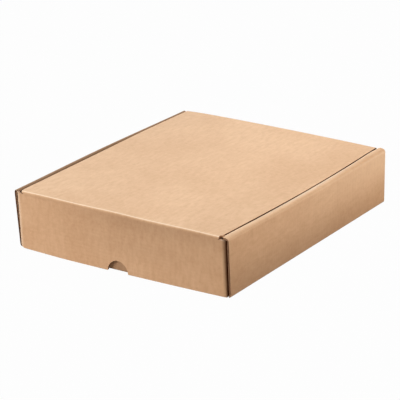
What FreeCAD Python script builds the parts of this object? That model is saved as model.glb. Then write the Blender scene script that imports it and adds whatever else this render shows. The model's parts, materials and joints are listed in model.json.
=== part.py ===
"""A flat mailer box, folded from one sheet of corrugated board and closed.

The sheet makes the bottom, the double side walls with their rolled tops, the
low wall behind the front flap, the back wall and the lid. The lid carries the
front flap, which hangs in front of the tray and locks with an ear in the slot
inside each side wall. The flap is a node of its own, because it swings.

X runs to the right, Y to the back and Z up. The origin is in the middle of the
footprint, on the surface that the box stands on.
"""
import FreeCAD, Part
import os

X_AXIS = FreeCAD.Vector(1, 0, 0)
Y_AXIS = FreeCAD.Vector(0, 1, 0)
Z_AXIS = FreeCAD.Vector(0, 0, 1)
AXES = {"x": X_AXIS, "y": Y_AXIS, "z": Z_AXIS}
SIDES = (("right", 1), ("left", -1))

# Driving dimensions in millimetres
SIZES = {
    "width": 250.0,            # over the side walls
    "depth": 300.0,            # from the face of the front flap to the back wall
    "height": 60.2,            # top of the lid
    "board": 2.0,              # thickness of the sheet
    "crease": 0.5,             # inner radius of every fold
    "lid_rise": 1.8,           # lid above the rolled tops of the side walls
    "lid_gap": 0.5,            # each side of the lid
    "lid_seat": 0.3,           # under the lid, above the tray's front wall
    "slip": 0.3,               # between the plies of a side wall
    "roll_gap": 0.4,           # above the tabs and ears, under the rolled top
    "flap_gap": 0.8,           # between the front flap and the tray
    "flap_lift": 0.6,          # front flap above the floor
    "hinge_gap": 0.2,          # cut in the front crease, where the flap turns
    "corner_round": 6.0,       # lower corners of the front flap
    "notch_radius": 12.0,      # thumb notch
    "notch_drop": 1.0,         # centre of the notch below the flap's edge
    "ear_reach": 36.0,         # ear behind its fold
    "ear_lift": 8.0,           # lower edge of the ear above the floor
    "ear_clear": 1.2,          # between the swinging ear and the bottom
    "tab_reach": 38.0,         # corner tabs behind their folds
    "back_setback": 0.5,       # side walls short of the back wall's face
    "end_gap": 0.4,            # inner side walls short of the end walls
    "foot_gap": 0.3,           # inner side walls above the bottom
    "lock_length": 38.0,       # each lock tab of an inner side wall
    "lock_spacing": 150.0,     # between the middles of its two lock tabs
    "lock_play": 0.3,          # around a lock tab in its slot
    "lock_recess": 0.3,        # end of a lock tab above the underside
}

doc = FreeCAD.newDocument("mailer_box")
dims = doc.addObject("Spreadsheet::Sheet", "dims")
for row, (alias, value) in enumerate(SIZES.items(), start=1):
    dims.set(f"A{row}", alias)
    dims.set(f"B{row}", str(value))
    dims.setAlias(f"B{row}", alias)
doc.recompute()

# Places that several panels share, worked out from the driving dimensions
BEND = "(dims.board + dims.crease)"
FRONT = "(-dims.depth / 2)"
BACK = "(dims.depth / 2)"
TOP = "dims.height"
FLAP_INNER = f"({FRONT} + dims.board)"
TRAY_FRONT = f"({FLAP_INNER} + dims.flap_gap)"
TRAY_FRONT_INNER = f"({TRAY_FRONT} + dims.board)"
BACK_INNER = f"({BACK} - dims.board)"
WALL_TOP = "(dims.height - dims.lid_rise)"
ROLL_UNDERSIDE = f"({WALL_TOP} - dims.board)"
PLY_TOP = f"({ROLL_UNDERSIDE} - dims.roll_gap)"
LID_UNDERSIDE = "(dims.height - dims.board)"

# The ear stays in a circle about the front crease that clears the bottom
EAR_SWEEP = "(dims.height - dims.board - dims.ear_clear)"

# Each half of the front crease stops short of the middle by half the cut
HALF_CREASE = f"45 - dims.hinge_gap / (2 * {BEND}) * 180 / pi"

# The plies of a side wall, from its face inwards
WALL_OUTER = "(dims.width / 2)"
WALL_INNER = f"({WALL_OUTER} - dims.board)"
EAR_OUTER = f"({WALL_INNER} - dims.slip)"
EAR_INNER = f"({EAR_OUTER} - dims.board)"
TAB_OUTER = f"({EAR_INNER} - dims.slip)"
TAB_INNER = f"({TAB_OUTER} - dims.board)"
LINING_OUTER = f"({TAB_INNER} - dims.slip)"
LINING_INNER = f"({LINING_OUTER} - dims.board)"
LID_EDGE = f"({LINING_INNER} - dims.lid_gap)"
TRAY_CORNER = f"({TAB_OUTER} - {BEND})"
FLAP_CORNER = f"({EAR_OUTER} - {BEND})"


def both_ways(edge):
    """The span from minus an edge to plus the same edge."""
    return (f"-{edge}", edge)


def on_side(sign, inner, outer):
    """The span between two faces of a side wall, on the right or the left."""
    return (inner, outer) if sign > 0 else (f"-{outer}", f"-{inner}")


def place(piece, base, rotation=None):
    """Binds a piece's position to expressions, with a fixed turn."""
    piece.Placement = FreeCAD.Placement(FreeCAD.Vector(), rotation or FreeCAD.Rotation())
    for axis, expression in base.items():
        piece.setExpression(f"Placement.Base.{axis}", expression)


def panel(name, x, y, z):
    """A flat stretch of the sheet: a box between two expressions on each axis."""
    piece = doc.addObject("Part::Box", name)
    for size, (low, high) in zip(("Length", "Width", "Height"), (x, y, z)):
        piece.setExpression(size, f"{high} - ({low})")
    place(piece, {"x": x[0], "y": y[0], "z": z[0]})
    return piece


def rod(name, axis, centre, span, radius, start=None, towards=None, sweep="90"):
    """A cylinder along an axis, or the sector of one that starts in a direction."""
    along = AXES[axis]
    start = start or AXES["yzx"["xyz".index(axis)]]
    towards = towards or along.cross(start)
    length_axis = start.cross(towards)
    piece = doc.addObject("Part::Cylinder", name)
    piece.setExpression("Radius", radius)
    piece.setExpression("Height", f"{span[1]} - ({span[0]})")
    piece.setExpression("Angle", sweep)
    base = dict(centre)
    base[axis] = span[0] if length_axis.dot(along) > 0 else span[1]
    place(piece, base, FreeCAD.Rotation(start, towards, length_axis, "XYZ"))
    return piece


def fold(name, axis, centre, span, start, towards, sweep="90"):
    """A crease: the sector of a ring, as thick as the board."""
    outside = rod(f"{name}_outside", axis, centre, span, BEND, start, towards, sweep)
    inside = rod(f"{name}_inside", axis, centre, span, "dims.crease", start, towards, sweep)
    return cut(name, outside, inside)


def cut(name, base, tool):
    """One piece less another."""
    piece = doc.addObject("Part::Cut", name)
    piece.Base = base
    piece.Tool = tool
    return piece


def joined(name, pieces):
    """Several pieces as one."""
    piece = doc.addObject("Part::MultiFuse", name)
    piece.Shapes = pieces
    piece.Refine = True
    return piece


def end_wall(name, y, fold_y, outward, top):
    """An end wall of the tray with its bottom fold and its two corner tabs.

    The tabs turn in between the plies of the side walls. The wall is lower
    beside the lid, where it passes under the rolled tops.
    """
    pieces = [
        panel(f"{name}_middle", both_ways(LID_EDGE), y, (BEND, top)),
        panel(f"{name}_sides", both_ways(TRAY_CORNER), y, (BEND, PLY_TOP)),
        fold(f"{name}_foot", "x", {"y": fold_y, "z": BEND}, both_ways(TRAY_CORNER),
             -Z_AXIS, outward),
    ]
    for side, sign in SIDES:
        centre = {"x": TRAY_CORNER if sign > 0 else f"-{TRAY_CORNER}", "y": fold_y}
        pieces.append(fold(f"{name}_{side}_corner", "z", centre, (BEND, PLY_TOP),
                           outward, X_AXIS * sign))
        tab_end = f"({fold_y} + dims.tab_reach)"
        tab_y = (fold_y, tab_end)
        if outward.y > 0:
            tab_end = f"({fold_y} - dims.tab_reach)"
            tab_y = (tab_end, fold_y)
        pieces.append(panel(f"{name}_{side}_tab", on_side(sign, TAB_INNER, TAB_OUTER),
                            tab_y, (BEND, PLY_TOP)))
    return pieces


def side_wall(side, sign):
    """A side wall: outer ply, rolled top and the lining that turns down inside."""
    outward = X_AXIS * sign
    wall_y = (TRAY_FRONT, f"({BACK} - dims.back_setback)")
    lining_y = (f"({TRAY_FRONT_INNER} + dims.end_gap)", f"({BACK_INNER} - dims.end_gap)")
    outer_fold = f"({WALL_OUTER} - {BEND})"
    inner_fold = f"({LINING_INNER} + {BEND})"
    roll_fold_z = f"({WALL_TOP} - {BEND})"
    outer_x = outer_fold if sign > 0 else f"-{outer_fold}"
    inner_x = inner_fold if sign > 0 else f"-{inner_fold}"
    return [
        fold(f"{side}_foot", "y", {"x": outer_x, "z": BEND}, wall_y, -Z_AXIS, outward),
        panel(f"{side}_wall", on_side(sign, WALL_INNER, WALL_OUTER), wall_y,
              (BEND, roll_fold_z)),
        fold(f"{side}_shoulder", "y", {"x": outer_x, "z": roll_fold_z}, wall_y,
             Z_AXIS, outward),
        panel(f"{side}_roll", on_side(sign, inner_fold, outer_fold), wall_y,
              (ROLL_UNDERSIDE, WALL_TOP)),
        fold(f"{side}_inner_shoulder", "y", {"x": inner_x, "z": roll_fold_z}, lining_y,
             Z_AXIS, outward * -1),
        panel(f"{side}_lining", on_side(sign, LINING_INNER, LINING_OUTER), lining_y,
              ("(dims.board + dims.foot_gap)", roll_fold_z)),
    ]


def lock_span(end, play):
    """Where a lock tab runs along Y, near the front or the back, with its play."""
    middle = f"({end} * dims.lock_spacing / 2)"
    return (f"({middle} - dims.lock_length / 2 - {play})",
            f"({middle} + dims.lock_length / 2 + {play})")


def lock_tabs(side, sign):
    """The two tabs under a lining, which stand in slots of the bottom."""
    return [
        panel(f"{side}_lock_{name}", on_side(sign, LINING_INNER, LINING_OUTER),
              lock_span(end, "0"), ("dims.lock_recess", "(dims.board + dims.foot_gap)"))
        for name, end in (("front", -1), ("back", 1))
    ]


def lock_slots(side, sign):
    """The slots of the bottom that take a side wall's lock tabs."""
    slot_x = on_side(sign, f"({LINING_INNER} - dims.lock_play)",
                     f"({LINING_OUTER} + dims.lock_play)")
    return [
        panel(f"{side}_slot_{name}", slot_x, lock_span(end, "dims.lock_play"),
              ("-dims.board", "(2 * dims.board)"))
        for name, end in (("front", -1), ("back", 1))
    ]


def make_box():
    """The tray and the lid: one folded sheet, up to the front crease."""
    front_fold_y = f"({TRAY_FRONT} + {BEND})"
    back_fold_y = f"({BACK} - {BEND})"
    lid_fold_z = f"({TOP} - {BEND})"
    lid_front_y = f"({FRONT} + {BEND})"
    bottom = panel("bottom_sheet", both_ways(f"({WALL_OUTER} - {BEND})"),
                   (front_fold_y, back_fold_y), ("0", "dims.board"))
    slots = [slot for side, sign in SIDES for slot in lock_slots(side, sign)]
    pieces = [cut("bottom", bottom, joined("lock_slots", slots))]
    pieces += end_wall("front_wall", (TRAY_FRONT, TRAY_FRONT_INNER), front_fold_y,
                       -Y_AXIS, f"({LID_UNDERSIDE} - dims.lid_seat)")
    pieces += end_wall("back_wall", (BACK_INNER, BACK), back_fold_y,
                       Y_AXIS, lid_fold_z)
    for side, sign in SIDES:
        pieces += side_wall(side, sign)
        pieces += lock_tabs(side, sign)
    pieces += [
        fold("lid_back_fold", "x", {"y": back_fold_y, "z": lid_fold_z},
             both_ways(LID_EDGE), Z_AXIS, Y_AXIS),
        panel("lid", both_ways(LID_EDGE), (lid_front_y, back_fold_y),
              (LID_UNDERSIDE, TOP)),
        fold("lid_front_fold", "x", {"y": lid_front_y, "z": lid_fold_z},
             both_ways(LID_EDGE), Z_AXIS, -Y_AXIS, HALF_CREASE),
    ]
    box = joined("box_sheet", pieces)
    box.Label = "box"
    return box


def ear(side, sign):
    """An ear: a panel behind the flap's side fold, inside the circle it swings in."""
    fold_y = f"({FRONT} + {BEND})"
    ear_x = on_side(sign, EAR_INNER, EAR_OUTER)
    blank = panel(f"{side}_ear_blank", ear_x, (fold_y, f"({fold_y} + dims.ear_reach)"),
                  ("dims.ear_lift", PLY_TOP))
    sweep = rod(f"{side}_ear_sweep", "x", {"y": FRONT, "z": TOP}, ear_x,
                EAR_SWEEP, sweep="360")
    piece = doc.addObject("Part::MultiCommon", f"{side}_ear")
    piece.Shapes = [blank, sweep]
    return piece


def corner_waste(side, sign):
    """What is cut off a lower corner of the flap to round it."""
    inner = f"({EAR_OUTER} - dims.corner_round)"
    middle_z = "(dims.flap_lift + dims.corner_round)"
    across = (f"({FRONT} - dims.board)", f"({FRONT} + {BEND})")
    square = panel(f"{side}_corner_square", on_side(sign, inner, f"({EAR_OUTER} + dims.board)"),
                   across, ("(dims.flap_lift - dims.board)", middle_z))
    centre = {"x": inner if sign > 0 else f"-{inner}", "z": middle_z}
    disc = rod(f"{side}_corner_disc", "y", centre, across, "dims.corner_round", sweep="360")
    return cut(f"{side}_corner_waste", square, disc)


def make_front_flap():
    """The flap that hangs from the lid, with its shoulders, ears and thumb notch."""
    thickness = (FRONT, FLAP_INNER)
    fold_y = f"({FRONT} + {BEND})"
    crease_z = f"({TOP} - {BEND})"
    shoulder_in = f"({LID_EDGE} + dims.lid_gap)"
    pieces = [
        panel("flap_face", both_ways(FLAP_CORNER), thickness, ("dims.flap_lift", crease_z)),
        fold("flap_crease", "x", {"y": fold_y, "z": crease_z}, both_ways(LID_EDGE),
             -Y_AXIS, Z_AXIS, HALF_CREASE),
    ]
    for side, sign in SIDES:
        centre = {"x": FLAP_CORNER if sign > 0 else f"-{FLAP_CORNER}", "y": fold_y}
        pieces += [
            panel(f"{side}_flap_shoulder", on_side(sign, shoulder_in, FLAP_CORNER),
                  thickness, (crease_z, WALL_TOP)),
            fold(f"{side}_flap_fold", "z", centre, ("dims.flap_lift", WALL_TOP),
                 -Y_AXIS, X_AXIS * sign),
            ear(side, sign),
        ]
    notch = rod("thumb_notch", "y", {"x": "0", "z": "(dims.flap_lift - dims.notch_drop)"},
                (f"({FRONT} - dims.board)", FLAP_INNER), "dims.notch_radius", sweep="360")
    waste = [notch] + [corner_waste(side, sign) for side, sign in SIDES]
    flap = cut("flap_sheet", joined("flap_blank", pieces), joined("flap_waste", waste))
    flap.Label = "front_flap"
    return flap


subparts = [make_box(), make_front_flap()]
doc.recompute()

# Nothing is written unless every object was made and every sub-part is sound
for item in doc.Objects:
    if "Invalid" in item.State or "Error" in item.State:
        raise RuntimeError(f"{item.Label} could not be made: {item.State}")
for item in subparts:
    if item.Shape.isNull() or not item.Shape.isValid():
        raise RuntimeError(f"{item.Label} has no sound shape")
    if len(item.Shape.Solids) != 1:
        raise RuntimeError(f"{item.Label} is in {len(item.Shape.Solids)} pieces, not one")

os.makedirs("parts", exist_ok=True)
for item in subparts:
    item.Shape.exportStep(f"parts/{item.Label}.step")
    extent = item.Shape.BoundBox
    print(f"{item.Label}: {item.Shape.Volume / 1000:.1f} cm3, "
          f"x {extent.XMin:.2f} to {extent.XMax:.2f}, "
          f"y {extent.YMin:.2f} to {extent.YMax:.2f}, "
          f"z {extent.ZMin:.2f} to {extent.ZMax:.2f}")
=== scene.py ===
# %% [markdown]
# # A folded mailer box
#
# This box is one die-cut sheet of kraft corrugated board, folded and tucked, with no
# glue. Everything that makes it look real comes from that sheet: it has a thickness,
# it turns corners in tight arcs, its cut edges show two paper liners with a wavy
# paper between them, and it never lies quite flat. So the sheet is modelled as a
# sheet: each stretch is a flat grid that is carried along a folded path.

# %% The frame that the pieces are built around
import json
import math

import bpy
import numpy as np
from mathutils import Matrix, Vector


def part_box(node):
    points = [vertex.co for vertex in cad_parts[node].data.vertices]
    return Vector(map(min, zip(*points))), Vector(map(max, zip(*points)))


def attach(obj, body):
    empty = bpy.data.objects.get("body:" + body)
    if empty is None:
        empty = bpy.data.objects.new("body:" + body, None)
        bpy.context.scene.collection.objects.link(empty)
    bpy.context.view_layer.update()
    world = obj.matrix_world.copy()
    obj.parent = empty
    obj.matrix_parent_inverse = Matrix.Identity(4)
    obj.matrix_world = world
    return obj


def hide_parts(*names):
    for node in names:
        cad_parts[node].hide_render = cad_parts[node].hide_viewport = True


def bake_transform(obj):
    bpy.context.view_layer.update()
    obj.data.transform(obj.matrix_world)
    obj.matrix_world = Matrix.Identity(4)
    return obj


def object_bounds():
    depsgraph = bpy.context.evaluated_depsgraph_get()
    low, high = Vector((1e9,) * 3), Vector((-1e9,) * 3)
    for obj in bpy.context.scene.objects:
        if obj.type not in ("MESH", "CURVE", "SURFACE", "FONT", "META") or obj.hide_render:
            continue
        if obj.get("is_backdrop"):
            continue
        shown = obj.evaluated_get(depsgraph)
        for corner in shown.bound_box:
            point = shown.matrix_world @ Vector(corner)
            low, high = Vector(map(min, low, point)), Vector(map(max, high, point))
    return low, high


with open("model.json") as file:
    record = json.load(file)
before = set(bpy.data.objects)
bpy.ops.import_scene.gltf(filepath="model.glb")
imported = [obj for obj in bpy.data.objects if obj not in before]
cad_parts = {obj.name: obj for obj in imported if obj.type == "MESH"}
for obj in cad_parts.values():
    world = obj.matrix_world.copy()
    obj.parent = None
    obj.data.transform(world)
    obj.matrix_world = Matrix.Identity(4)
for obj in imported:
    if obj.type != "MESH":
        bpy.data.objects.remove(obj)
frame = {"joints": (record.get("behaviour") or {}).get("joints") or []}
cad_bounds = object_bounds()
box_low, box_high = (np.array(corner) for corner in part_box("box"))
flap_low = np.array(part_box("front_flap")[0])
hinge = frame["joints"][0]
print("The front flap turns about", hinge["name"], "and the box spans", box_low, box_high)

# %% [markdown]
# The outer sizes are read from the frame. The small sizes of the board are not in
# it, so they are named here: the thickness, the crease radius, and the play between
# the plies of a side wall, which decides how far apart the plies stand. The faces,
# edges and tops that several stretches share are worked out from them once.

# %% Sizes in metres
MM = 0.001
BOARD = 2.0 * MM
CREASE = 0.5 * MM
PLY_PLAY = 0.3 * MM
LID_PLAY = 0.5 * MM
FLAP_PLAY = 0.8 * MM
END_PLAY = 0.4 * MM
ROLL_PLAY = 0.4 * MM
LID_RISE = 1.8 * MM
SIDE_SETBACK = 0.5 * MM
FLAP_LIFT = 0.3 * MM
CREASE_DROP = 3.7 * MM

HALF = BOARD / 2
BEND = BOARD + CREASE
MIDDLE = CREASE + BOARD / 2

WALL = box_high[0]
BACK = box_high[1]
TOP = box_high[2]
FRONT = flap_low[1]
ROLL_TOP = TOP - LID_RISE
PLY_TOP = ROLL_TOP - BOARD - ROLL_PLAY
TRAY_FRONT = FRONT + BOARD + FLAP_PLAY
WALL_BACK = BACK - SIDE_SETBACK

EAR_FACE = WALL - BOARD - PLY_PLAY
TAB_FACE = EAR_FACE - BOARD - PLY_PLAY
LINING_FACE = TAB_FACE - BOARD - PLY_PLAY
LID_EDGE = LINING_FACE - BOARD - LID_PLAY
TRAY_CORNER = TAB_FACE - BEND
CREASE_FOOT = TOP - CREASE_DROP
print(f"Lid {2 * LID_EDGE / MM:.1f} mm wide, band {(WALL - LINING_FACE + BOARD) / MM:.1f} mm wide")

# %% [markdown]
# ## A sheet carried along a folded path
#
# A box is often modelled as a cube with bevelled edges. That gives the outline but
# not the sheet: no thickness at the cut edges, no gap between plies. Here each
# stretch starts from the line that runs through the middle of the board, drawn in
# one plane. Its corners become arcs, and the board has a facing direction at every
# point of it. A grid across that line, moved half a thickness each way along the
# facing direction, gives both faces of the board.

# %% The folded path
RUN_STEP = 5.0 * MM
ARC_STEPS = 8
# Shape of the paler paper round a crease: partly rubbed paper, partly a painted highlight.
RUB_AND_HIGHLIGHT_LEAN = 0.7
RUB_AND_HIGHLIGHT_NARROW = 10


def folded_path(corners, radius=MIDDLE, rub_and_highlight=0.0, step=RUN_STEP):
    """Straight runs joined by arcs.

    At each corner the arc starts radius times the tangent of half the turn before
    the corner. Its centre is one radius to the inside, and the arc's points are the
    first one turned about that centre in equal steps. A corner that doesn't turn is
    only a stop. The facing direction is the heading turned a quarter to the right.
    Returns the points, the facing directions, the distance along the path, and how
    much paler the paper is painted there, partly the rubbing of a crease and partly a
    painted highlight: a half sine of the way round a fold, narrowed by a high power,
    with the way bent by a low one so that the peak is a third of the way round. Radius
    and the paleness are one value, or one for each corner.
    """
    corners = np.asarray(corners, float)
    legs = np.diff(corners, axis=0)
    headings = legs / np.linalg.norm(legs, axis=1)[:, None]
    radii = np.broadcast_to(radius, len(corners) - 2)
    corner_paleness = np.broadcast_to(rub_and_highlight, len(corners) - 2)
    points, facings, point_paleness = [], [], []

    def add_run(start, stop, heading):
        """Equal steps from the start up to the stop, which isn't one of them."""
        length = np.linalg.norm(stop - start)
        if length > 0.01 * MM:
            count = max(1, int(math.ceil(length / step)))
            share = np.arange(count)[:, None] / count
            points.append(start + (stop - start) * share)
            facings.append(np.tile([heading[1], -heading[0]], (count, 1)))
            point_paleness.append(np.zeros(count))

    at = corners[0]
    for corner, arriving, leaving, bend, paleness in zip(corners[1:-1], headings[:-1], headings[1:],
                                                    radii, corner_paleness):
        turn = math.atan2(arriving[0] * leaving[1] - arriving[1] * leaving[0], arriving @ leaving)
        tangent = bend * math.tan(abs(turn) / 2)
        enter = corner - arriving * tangent
        add_run(at, enter, arriving)
        at = corner + leaving * tangent
        if abs(turn) < 1e-6:
            continue
        centre = enter + bend * math.copysign(1, turn) * np.array([-arriving[1], arriving[0]])
        way_round = np.arange(ARC_STEPS) / ARC_STEPS
        cos, sin = np.cos(turn * way_round)[:, None], np.sin(turn * way_round)[:, None]
        spoke = enter - centre
        points.append(centre + spoke * cos + np.array([-spoke[1], spoke[0]]) * sin)
        facing = np.array([arriving[1], -arriving[0]])
        facings.append(facing * cos + np.array([-facing[1], facing[0]]) * sin)
        # Paler paper round the arc: partly a rubbed crease, partly a painted highlight.
        point_paleness.append(paleness * np.sin(math.pi * way_round ** RUB_AND_HIGHLIGHT_LEAN) ** RUB_AND_HIGHLIGHT_NARROW)
    add_run(at, corners[-1], headings[-1])
    points.append(corners[-1:])
    facings.append([[headings[-1][1], -headings[-1][0]]])
    point_paleness.append([0.0])
    points, facings = np.concatenate(points), np.concatenate(facings)
    distance = np.concatenate([[0], np.cumsum(np.linalg.norm(np.diff(points, axis=0), axis=1))])
    return points, facings, distance, np.concatenate(point_paleness)


trial = folded_path([(0, 0), (0.1, 0), (0.1, 0.05)])
print(f"A path with one corner: {len(trial[0])} points, {trial[2][-1] / MM:.1f} mm long")

# %% [markdown]
# ## From the path to a closed board
#
# The middle surface is a grid: rows follow the path and columns run across it.
# Where the sheet is narrower, or has a slot, cells are left out of the grid, as a
# die cuts them out of the flat sheet. Each edge between a kept cell and nothing is
# a cut edge. There the board isn't a plain wall: the two liners stand at the
# surface, and what is between them lies a little deeper. Where two stretches meet
# face to face the edge is almost flat, so that nothing shows.

# %% The grid across a path
LINER = 0.32 * MM
EDGE_RECESS = 0.6 * MM
BUTT_RECESS = 0.02 * MM


def grid_across(path, axes, low, high, shares):
    """The middle surface of a stretch.

    The path's two coordinates go to the first two axes. The third coordinate is
    low plus a share of the width, from low to high. Low and high may be arrays with
    one value for each point of the path. Returns the grid of points and of facings.
    """
    points, facings = path[0], path[1]
    count = len(points)
    low, high = np.broadcast_to(low, count), np.broadcast_to(high, count)
    first, second, third = axes
    middle = np.empty((count, len(shares), 3))
    facing = np.zeros_like(middle)
    middle[..., first], middle[..., second] = points[:, :1], points[:, 1:]
    middle[..., third] = low[:, None] + (high - low)[:, None] * np.asarray(shares)
    facing[..., first], facing[..., second] = facings[:, :1], facings[:, 1:]
    return middle, facing


def with_stops(low, high, stops, step=RUN_STEP):
    """Values from low to high, no further apart than the step, that include the stops."""
    marks = np.unique(np.round([low, *stops, high], 9))
    runs = [np.linspace(a, b, max(1, int(math.ceil((b - a) / step))) + 1)[:-1]
            for a, b in zip(marks[:-1], marks[1:])]
    return np.concatenate(runs + [[high]])


print("Rows and columns with stops:", with_stops(0, 0.02, [0.007]) / MM)

# %% Closing the shell
def signed_volume(points, quads):
    """A sixth of the sum of a . (b x c) over the two triangles of each quad."""
    a, b, c, d = (points[quads[:, k]] for k in range(4))
    return (np.einsum("ij,ij->", a, np.cross(b, c)) + np.einsum("ij,ij->", a, np.cross(c, d))) / 6


def outwards(points, quads):
    """The quads, turned round if the closed shell that they make is inside out."""
    return quads if signed_volume(points, quads) > 0 else quads[:, ::-1]


def board(middle, facing, flat, rub_and_highlight, keep=None, butted=None, tone=0.0, edge_tone=0.0):
    """A closed board around a middle surface.

    Both faces are the middle surface moved half the thickness along the facing.
    At each boundary edge of the kept cells, four more rows of points go from the
    outer face to the inner one: one liner's thickness in, then inwards by the
    recess, across, and out again. Inwards is the facing crossed with the edge.
    Three attributes go with the points. Fold is how much paler the paper is painted:
    partly rubbed creases, partly painted highlights and painted light. Cut is 1 in a
    cut edge that shows. Tone is how much painted shade darkens the board: the tone that
    is given, and in a cut edge at least the edge tone. Both tones are one value, or one
    for each point of the grid.
    """
    rows, columns = middle.shape[:2]
    index = np.arange(rows * columns).reshape(rows, columns)
    keep = np.ones((rows - 1, columns - 1), bool) if keep is None else keep
    quads = np.stack([index[:-1, :-1], index[1:, :-1], index[1:, 1:], index[:-1, 1:]], axis=-1)[keep]
    centre, normal = middle.reshape(-1, 3), facing.reshape(-1, 3)
    corner = centre[quads]
    turned = np.cross(corner[:, 1] - corner[:, 0], corner[:, 3] - corner[:, 0])
    if np.einsum("ij,ij->", turned, normal[quads[:, 0]]) < 0:
        quads = quads[:, ::-1]

    edges = np.stack([quads, np.roll(quads, -1, axis=1)], axis=-1).reshape(-1, 2)
    key = edges[:, 0] * centre.shape[0] + edges[:, 1]
    back_key = edges[:, 1] * centre.shape[0] + edges[:, 0]
    rim = edges[~np.isin(key, back_key)]
    along = centre[rim[:, 1]] - centre[rim[:, 0]]
    along /= np.linalg.norm(along, axis=1)[:, None]
    inward_of_edge = np.cross(normal[rim[:, 0]], along)
    inward = np.zeros_like(centre)
    np.add.at(inward, rim[:, 0], inward_of_edge)
    np.add.at(inward, rim[:, 1], inward_of_edge)
    inward /= np.maximum(np.linalg.norm(inward, axis=1), 1e-9)[:, None]
    depth, bare = np.full(len(centre), EDGE_RECESS), np.ones(len(centre))
    if butted is not None:
        joined = rim[butted((centre[rim[:, 0]] + centre[rim[:, 1]]) / 2)].ravel()
        depth[joined], bare[joined] = BUTT_RECESS, 0

    heights = (HALF, HALF - LINER, HALF - LINER, LINER - HALF, LINER - HALF, -HALF)
    recessed = (0, 0, 1, 1, 0, 0)
    on_rim = np.unique(rim)
    layers = [centre + normal * height + inward * (depth * deep)[:, None]
              for height, deep in zip(heights, recessed)]
    used = np.unique(quads)
    place = np.full((6, len(centre)), -1)
    dark, rim_dark = (np.broadcast_to(shade, middle.shape[:2]).ravel() for shade in (tone, edge_tone))
    points, fold, cut, uv, tones = [], [], [], [], []
    at = 0
    for level, layer in enumerate(layers):
        which = used if level in (0, 5) else on_rim
        place[level, which] = at + np.arange(len(which))
        at += len(which)
        points.append(layer[which])
        fold.append(rub_and_highlight.ravel()[which])
        edge = 0 if level in (0, 5) else bare[which]
        tones.append(np.maximum(dark[which], rim_dark[which] * edge))
        cut.append(edge * np.ones(len(which)))
        uv.append(flat.reshape(-1, 2)[which])
    faces = [place[0][quads], place[5][quads[:, ::-1]]]
    a, b = rim[:, 0], rim[:, 1]
    faces += [np.stack([place[level][b], place[level][a], place[level + 1][a], place[level + 1][b]],
                       axis=1) for level in range(5)]
    points, faces = np.concatenate(points), np.concatenate(faces)
    return {"points": points, "faces": outwards(points, faces), "flat": np.concatenate(uv),
            "fold": np.concatenate(fold), "cut": np.concatenate(cut), "tone": np.concatenate(tones)}


# %% [markdown]
# ## The wavy paper in the cut edges
#
# Between the liners runs a wave of thin paper, the fluting. Its ends show only at
# edges that cross the flutes, such as the sides of the lid. A bump map would draw
# lines on a flat wall, so here it is a real ribbon: a sine wave along the edge that
# swings between the liners.

# %% Fluting as a ribbon
FLUTE_PITCH = 3.4 * MM
WAVE_PAPER = 0.24 * MM
WAVE_STEPS = 8
RIBBON_START = 0.06 * MM
RIBBON_END = EDGE_RECESS + 0.1 * MM


def fluting(middle, facing, flat, inward, tone=0.0):
    """A ribbon of paper in one cut edge.

    Along the edge, the distance across the flutes is v. The ribbon's height in the
    board is the free half thickness times the sine of 2 pi v over the pitch. Its
    section is a small rectangle, one paper thick, from just inside the surface to
    just past the recess.
    """
    across = flat[:, 1]
    order = np.argsort(across)
    span = np.arange(across.min(), across.max(), FLUTE_PITCH / WAVE_STEPS)
    line, normal, deep = (np.stack([np.interp(span, across[order], values[order, k])
                                    for k in range(3)], axis=1)
                          for values in (middle, facing, inward))
    swing = (HALF - LINER - WAVE_PAPER / 3) * np.sin(2 * math.pi * span / FLUTE_PITCH)
    section = ((WAVE_PAPER / 2, RIBBON_START), (WAVE_PAPER / 2, RIBBON_END),
               (-WAVE_PAPER / 2, RIBBON_END), (-WAVE_PAPER / 2, RIBBON_START))
    rings = np.stack([line + normal * (swing + up)[:, None] + deep * into
                      for up, into in section], axis=1)
    count = len(span)
    index = np.arange(count * 4).reshape(count, 4)
    sides = [np.stack([index[:-1, k], index[1:, k], index[1:, (k + 1) % 4], index[:-1, (k + 1) % 4]],
                      axis=1) for k in range(4)]
    faces = np.concatenate(sides + [index[:1, ::-1], index[-1:]])
    points = rings.reshape(-1, 3)
    along = np.interp(span, across[order], flat[order, 0])
    return {"points": points, "faces": outwards(points, faces),
            "flat": np.repeat(np.stack([along, span], axis=1), 4, axis=0), "fold": np.zeros(len(points)),
            "cut": np.ones(len(points)), "tone": np.full(len(points), tone)}


# %% [markdown]
# ## Nothing made of board is flat
#
# A box that has been folded by hand is a little out of true. In the photograph its
# left side leans out at the front, the long side walls bow outwards, the lid sags
# along its right edge and stays up along its left one, its front crease sags and
# wavers, the gaps beside it change in width, and the lower edge of the flap stands
# away from the tray. These are smooth offsets of a few millimetres. They depend only
# on where a point is, so plies that touch move together.
#
# The skews are the moves in X of four corners, left then right: of the tray's top
# and foot in two rows, near then far, and of the flap also in two rows, its top then
# its foot. Between the corners they are blended.

# %% How far things have moved
SKEW_TOP = np.array([[-0.9, -1.2], [0.3, 0.8]]) * MM
SKEW_FOOT = np.array([[4.5, 1.3], [3.0, 0.9]]) * MM
FLAP_SKEW = np.array([[0.8, -1.5], [6.3, 0.8]]) * MM
WALL_BOW = 1.8 * MM
WALL_BULGE = 1.5 * MM
FLAP_BOW = 4.0 * MM
TRAY_BOW = 3.2 * MM
BOW_MIDDLE = -0.35
BOW_POWER = 1.4
BOW_FADE = 10 * BOARD
LID_CROWN = 0.6 * MM
LEFT_RISE = 0.7 * MM
RIGHT_SAG = 1.5 * MM
RIGHT_DIP = 0.4 * MM
BACK_DROP = 0.4 * MM
BACK_CORNER_DROP = 0.9 * MM
LEFT_CORNER_DROP = 0.9 * MM
FRONT_SAG = 0.5 * MM
SAG_FADE = (0.45 * WALL, 0.72 * WALL)
NEAR_CREASE = (0, 0.12)
WAVER = 82.0 * MM
WAVER_START = -69.5 * MM
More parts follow.
